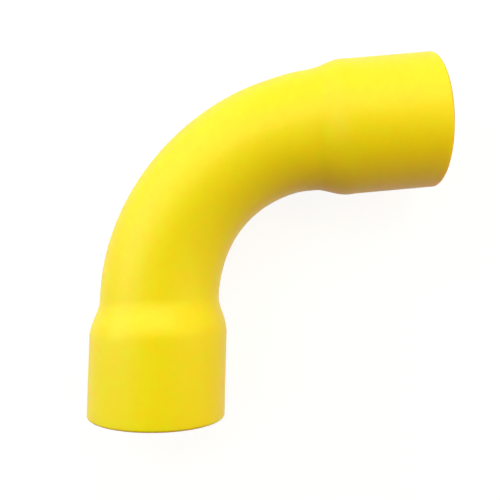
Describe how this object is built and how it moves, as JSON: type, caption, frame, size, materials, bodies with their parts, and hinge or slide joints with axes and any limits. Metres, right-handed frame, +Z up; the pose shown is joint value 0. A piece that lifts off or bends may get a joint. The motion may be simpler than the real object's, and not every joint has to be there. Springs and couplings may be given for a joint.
{
  "type": "raceway bend",
  "caption": "One-piece bend of yellow plastic tube that carries fibre cables round a corner, with a belled push-in socket formed at either end.",
  "frame": {"origin": "on socket A's axis, at the inner end of its straight bore, where the inserted tube stops", "axes": "-Y out of socket A's mouth, +X towards the side that the run turns to, +Z up, square to the plane of the bend, which lies flat"},
  "size_m": [0.1768, 0.1894, 0.069],
  "materials": {
    "yellow_plastic": "smooth satin rigid PVC, yellow right through"
  },
  "bodies": {
    "root": {"raceway_bend": "yellow_plastic"}
  },
  "joints": []
}
